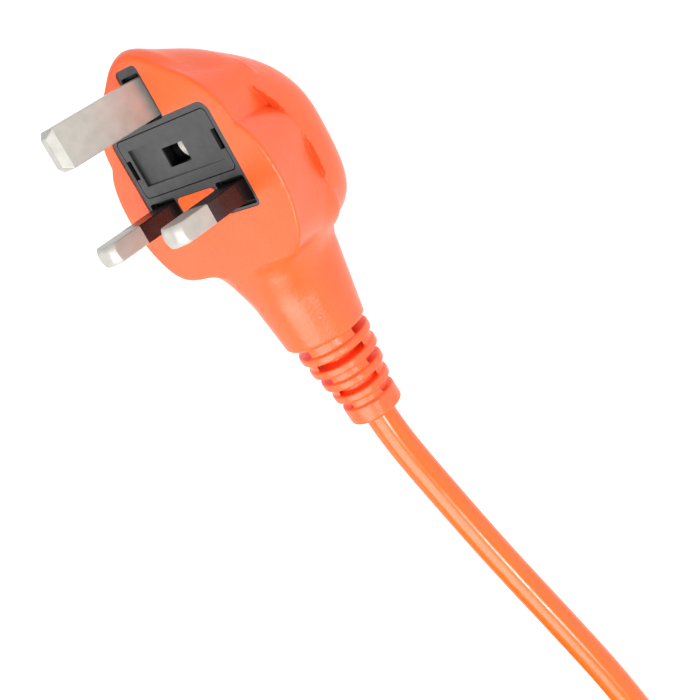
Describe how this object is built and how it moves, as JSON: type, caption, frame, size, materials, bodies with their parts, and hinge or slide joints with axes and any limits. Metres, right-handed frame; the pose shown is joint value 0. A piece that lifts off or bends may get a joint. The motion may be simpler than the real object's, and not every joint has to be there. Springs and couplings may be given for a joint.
{
  "type": "extension lead",
  "caption": "Mains extension lead: fused plug with moulded strain relief, round flexible cord wound in a strapped coil, and a shuttered trailing socket.",
  "frame": {"origin": "on the surface that the plug's back lies on, under the middle of the plug's bounding box", "axes": "+Z out of the engagement face, the way the pins point; +Y from the cord entry towards the earth pin; +X from the line pin to the neutral pin"},
  "size_m": [0.1086, 0.3039, 0.0768],
  "materials": {
    "orange_moulding": "satin, finely grained moulded PVC",
    "orange_sheath": "smooth glossy extruded PVC",
    "black_carrier": "fine satin moulded nylon",
    "nickel_plate": "satin nickel plating on brass",
    "pin_sleeve": "dark insulating sleeve",
    "brass": "stamped brass",
    "fuse_metal": "polished plated caps",
    "fuse_body": "dark ceramic",
    "core_brown": "smooth",
    "core_blue": "smooth",
    "core_green_yellow": "green with a yellow stripe",
    "strap": "woven hook-and-loop tape",
    "black_shell": "textured moulded shell",
    "white_shutter": "smooth",
    "screw_steel": "zinc plated"
  },
  "bodies": {
    "lead": {"plug_body": "orange_moulding", "pin_bridge": "black_carrier", "earth_pin": "nickel_plate", "neutral_pin": "nickel_plate", "line_pin": "nickel_plate", "neutral_pin_sleeve": "pin_sleeve", "line_pin_sleeve": "pin_sleeve", "fuse_clip_line": "brass", "fuse_clip_supply": "brass", "plug_core_green_yellow": "core_green_yellow", "plug_core_brown": "core_brown", "plug_core_blue": "core_blue", "plug_crimps": "brass", "cord_lead": "orange_sheath", "cord_tail": "orange_sheath", "cord_coil": "orange_sheath", "cord_tie": "strap", "socket_cover": "orange_moulding", "socket_base": "black_shell", "shutter_spring": "screw_steel", "socket_contact_line": "brass", "socket_contact_neutral": "brass", "socket_contact_earth": "brass", "terminal_screws": "screw_steel", "cord_clamp": "black_carrier", "clamp_screws": "screw_steel", "cover_screws": "screw_steel", "cord_sleeve": "orange_moulding", "socket_core_green_yellow": "core_green_yellow", "socket_core_brown": "core_brown", "socket_core_blue": "core_blue"},
    "fuse_drawer": {"fuse_carrier": "black_carrier", "fuse_barrel": "fuse_body", "fuse_caps": "fuse_metal"},
    "shutter_plate": {"shutter": "white_shutter"}
  },
  "joints": [
    {"name": "fuse_drawer_pull", "type": "slide", "parent": "lead", "child": "fuse_drawer", "axis": [0, 0, 1], "range_m": [0, 0.02]},
    {"name": "shutter_slide", "type": "slide", "parent": "lead", "child": "shutter_plate", "axis": [0, 1, 0], "range_m": [0, 0.0052], "stiffness_N_per_m": 40, "springref_m": -0.002, "deforming": ["shutter_spring"]}
  ]
}
